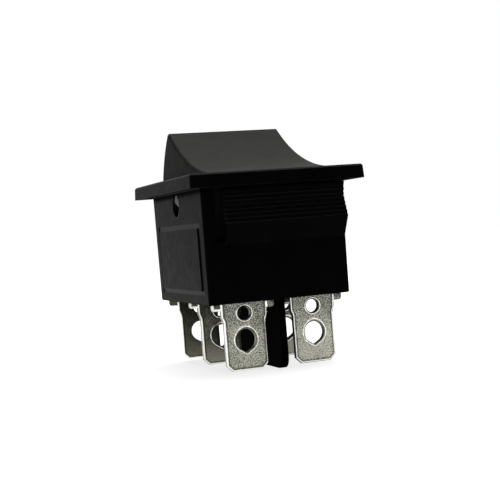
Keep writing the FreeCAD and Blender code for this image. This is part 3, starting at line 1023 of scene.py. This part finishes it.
@dataclass
class SprungPlunger:
    """One plunger with its spring wound from round wire."""

    hand: str
    nodes: Dict[str, bpy.types.Object]
    paints: Paints
    pivot_depth_mm: float = 1.8
    tilt_deg: float = 21.0
    low_mm: float = -4.38
    high_mm: float = -1.02
    wire_mm: float = 0.3
    mean_radius_mm: float = 0.82
    open_turns: float = 3.0
    closed_turns: float = 1.0
    column_mm: float = 5.25
    travel_mm: float = 0.8
    points_a_turn: int = 20
    sides: int = 10

    def _centre_line(self) -> List[Vector]:
        """Middle of the wire, with closed end turns, in the level rocker's frame.

        Returns:
            Points along the wire, in millimetres.
        """
        turns = self.open_turns + 2 * self.closed_turns
        count = int(turns * self.points_a_turn)
        bottom = self.low_mm + self.wire_mm / 2
        top = self.high_mm - self.wire_mm / 2
        closed = self.wire_mm * self.closed_turns
        points = []
        for index in range(count + 1):
            turn = turns * index / count
            if turn < self.closed_turns:
                height = bottom + self.wire_mm * turn
            elif turn > turns - self.closed_turns:
                height = top - self.wire_mm * (turns - turn)
            else:
                share = (turn - self.closed_turns) / self.open_turns
                height = bottom + closed + share * (top - bottom - 2 * closed)
            angle = 2 * math.pi * turn
            points.append(Vector((self.mean_radius_mm * math.cos(angle),
                                  self.mean_radius_mm * math.sin(angle), height)))
        return points

    def _wire_mesh(self, points: List[Vector], name: str) -> bpy.types.Mesh:
        """Round wire along a line of points.

        Args:
            points: middle of the wire, in millimetres.
            name: name of the mesh.

        Returns:
            The mesh, in metres.
        """
        mesh = bmesh.new()
        rings = []
        last = len(points) - 1
        for index, point in enumerate(points):
            ahead = (points[min(index + 1, last)] - points[max(index - 1, 0)]).normalized()
            outward = Vector((point.x, point.y, 0)).normalized()
            across = ahead.cross(outward).normalized()
            ring = []
            for side in range(self.sides):
                angle = 2 * math.pi * side / self.sides
                offset = outward * math.cos(angle) + across * math.sin(angle)
                ring.append(mesh.verts.new((point + offset * self.wire_mm / 2) * MM))
            rings.append(ring)
        for near, far in zip(rings, rings[1:]):
            join_rings(mesh, near, far)
        mesh.faces.new(rings[0][::-1])
        mesh.faces.new(rings[-1])
        return close_mesh(mesh, name)

    def build(self) -> List[bpy.types.Object]:
        """Wind the spring, set it in the rocker and dress it with its plunger.

        Returns:
            The spring and the plunger.
        """
        name = "plunger_coil_" + self.hand
        tilt = Matrix.Rotation(math.radians(self.tilt_deg), 4, "X")
        pivot = Matrix.Translation((0, 0, -self.pivot_depth_mm * MM))
        column = Matrix.Translation((SIDES[self.hand] * self.column_mm * MM, 0, 0))
        to_frame = pivot @ tilt @ column
        data = self._wire_mesh(self._centre_line(), name)
        data.transform(to_frame)
        coil = add_object(name, data)
        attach(coil, "rocker")
        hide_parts("plunger_spring_" + self.hand)
        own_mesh(coil)
        self.paints.dress(coil, Finish.SPRING)
        plunger = self.nodes["plunger_" + self.hand]
        self.paints.dress(plunger, Finish.PLUNGER)
        return [coil, plunger]


@dataclass(frozen=True)
class SoftBox:
    """One square studio lamp that faces the switch.

    At a level of 1 it alone makes a white face at its target shine as white.
    """

    name: str
    place_m: Triple
    size_m: float
    level: float

    def build(self, target: Vector) -> bpy.types.Object:
        """Hang the lamp.

        Args:
            target: point that it faces.

        Returns:
            The lamp.
        """
        place = Vector(self.place_m)
        way = target - place
        lamp = bpy.data.lights.new(self.name, "AREA")
        lamp.size = self.size_m
        lamp.energy = self.level * (math.pi * way.length) ** 2
        piece = add_object(self.name, lamp)
        piece.location = place
        piece.rotation_euler = way.to_track_quat("-Z", "Y").to_euler()
        return piece


@dataclass
class Studio:
    """Pale floor, white surroundings, soft lamps and the camera."""

    floor_mm: float = -26.4
    floor_half_m: float = 3.0
    fade_m: Span = (0.05, 0.16)
    glow_near: float = 0.8
    paper_mm: float = 0.8
    paper_dark: float = 0.27
    paper_light: float = 0.31
    paper_unseen: float = 0.1
    ambient: float = 0.02
    dim_level: float = 0.18
    dim_span: Span = (0.68, 0.93)
    dim_way: Triple = (0.33, -0.94, 0.0)
    camera_mm: Triple = (-55.60105, -157.76884, -6.24092)
    yaw_deg: float = -19.551
    pitch_deg: float = -1.0554
    roll_deg: float = -4.5728
    focal_px: float = 1091.0
    picture_px: float = 500.0
    sensor_mm: float = 36.0
    clip_m: Span = (0.005, 20.0)
    target_m: Triple = (0.0, 0.0, -0.01)
    lamps: Tuple[SoftBox, ...] = (
        SoftBox("top_box", (0.06, 0.08, 0.5), size_m=0.42, level=1.9),
        SoftBox("left_box", (-0.5, 0.02, 0.08), size_m=0.35, level=0.06),
        SoftBox("right_box", (0.45, 0.1, 0.2), size_m=0.3, level=0.3),
    )

    def _ray_kinds(self, board: Board) -> Tuple[Wire, Wire]:
        """Tell the rays that see the background as such from the others.

        Args:
            board: node board.

        Returns:
            A share, 1 for camera rays, and a share, 1 for camera, glossy and transmission
            rays.
        """
        paths = board.node("ShaderNodeLightPath", {}, {})
        camera, glossy, through = (Wire(board, paths.outputs[name]) for name in (
            "Is Camera Ray", "Is Glossy Ray", "Is Transmission Ray"))
        return camera, (camera + glossy + through).held()

    def _world(self) -> None:
        """White background with a dim patch in front for gloss, over a soft ambient level."""
        world = bpy.data.worlds.new("white_studio")
        world.use_nodes = True
        bpy.context.scene.world = world
        board = Board(world.node_tree)
        camera, seen = self._ray_kinds(board)
        way = board.place("ShaderNodeTexCoord", {}, {}, "Generated")
        dim = board.dot(way, self.dim_way).rise(self.dim_span) * (1 - self.dim_level)
        level = seen * (1 - dim + camera).held() + (1 - seen) * self.ambient
        dark, white = (board.place("ShaderNodeBackground", {}, {
            "Color": grey(1.0), "Strength": strength}) for strength in (0.0, 1.0))
        light = board.place("ShaderNodeMixShader", {}, {0: level, 1: dark, 2: white})
        board.node("ShaderNodeOutputWorld", {}, {"Surface": light})

    def _paper(self) -> bpy.types.Material:
        """Floor's material, white where it is seen, with the shadow of the switch.

        Returns:
            The material.
        """
        surface = Surface("floor_paper")
        board = surface.board
        away = board.place("ShaderNodeVectorMath", {"operation": "LENGTH"},
                           {0: surface.point}, "Value")
        glow = board.blend(away.rise(self.fade_m), grey(self.glow_near), grey(1.0))
        paper = board.blend(board.speckle(surface.point, self.paper_mm, detail=3.0),
                            grey(self.paper_dark), grey(self.paper_light))
        white = board.place("ShaderNodeBsdfPrincipled", {}, {
            "Base Color": paper, "Roughness": 1.0, "Specular IOR Level": 0.0,
            "Emission Color": glow, "Emission Strength": 1.0})
        plain = board.place("ShaderNodeBsdfDiffuse", {}, {"Color": grey(self.paper_unseen)})
        seen = self._ray_kinds(board)[1]
        cover = board.place("ShaderNodeMixShader", {}, {0: seen, 1: plain, 2: white})
        board.node("ShaderNodeOutputMaterial", {}, {"Surface": cover})
        return surface.material

    def _floor(self) -> bpy.types.Object:
        """Pale floor under the switch.

        Returns:
            The floor.
        """
        half = self.floor_half_m
        height = self.floor_mm * MM
        mesh = bpy.data.meshes.new("studio_floor")
        corners = [(x * half, y * half, height) for x, y in ((-1, -1), (1, -1), (1, 1), (-1, 1))]
        mesh.from_pydata(corners, [], [(0, 1, 2, 3)])
        floor = add_object("studio_floor", mesh)
        floor.data.materials.append(self._paper())
        return floor

    def _camera(self) -> bpy.types.Object:
        """Camera where the photograph was taken from.

        Returns:
            The camera.
        """
        yaw, pitch, roll = (math.radians(angle) for angle in (
            self.yaw_deg, self.pitch_deg, self.roll_deg))
        ahead = Vector((-math.sin(yaw) * math.cos(pitch), math.cos(yaw) * math.cos(pitch),
                        math.sin(pitch)))
        level = Vector((math.cos(yaw), math.sin(yaw), 0))
        upright = level.cross(ahead)
        right = math.cos(roll) * level + math.sin(roll) * upright
        up = math.cos(roll) * upright - math.sin(roll) * level
        turn = Matrix((right, up, -ahead)).transposed().to_4x4()
        lens = bpy.data.cameras.new("photo_camera")
        lens.sensor_fit = "HORIZONTAL"
        lens.sensor_width = self.sensor_mm
        lens.lens = self.focal_px / self.picture_px * self.sensor_mm
        lens.clip_start, lens.clip_end = self.clip_m
        camera = add_object("photo_camera", lens)
        camera.matrix_world = Matrix.Translation(Vector(self.camera_mm) * MM) @ turn
        bpy.context.scene.camera = camera
        return camera

    def build(self) -> List[bpy.types.Object]:
        """Set up the whole studio.

        Returns:
            The floor, the camera and the lamps.
        """
        bpy.context.scene.view_settings.view_transform = "Standard"
        self._world()
        target = Vector(self.target_m)
        return [self._floor(), self._camera()] + [lamp.build(target) for lamp in self.lamps]


def main() -> None:
    """Load the frame, build each group in turn and report its pieces."""
    logging.basicConfig(level=logging.INFO, format="%(name)s: %(message)s")
    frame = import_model()
    nodes = frame["nodes"]
    paints = Paints()
    groups: List[Tuple[str, Any]] = [
        ("mouldings", MouldedParts(nodes, paints)),
        ("metal parts", MetalParts(nodes, paints)),
        ("left plunger", SprungPlunger("left", nodes, paints)),
        ("right plunger", SprungPlunger("right", nodes, paints)),
    ]
    for hand in SIDES:
        for row, outer_side in (("front", -1), ("middle", -1), ("rear", 1)):
            groups.append(("coined rims", CoinedRims(hand, row, outer_side, paints)))
    groups.append(("studio", Studio()))
    for title, group in groups:
        for piece in group.build():
            LOG.info("%s: %s", title, piece.name)


if __name__ == "__main__":
    main()
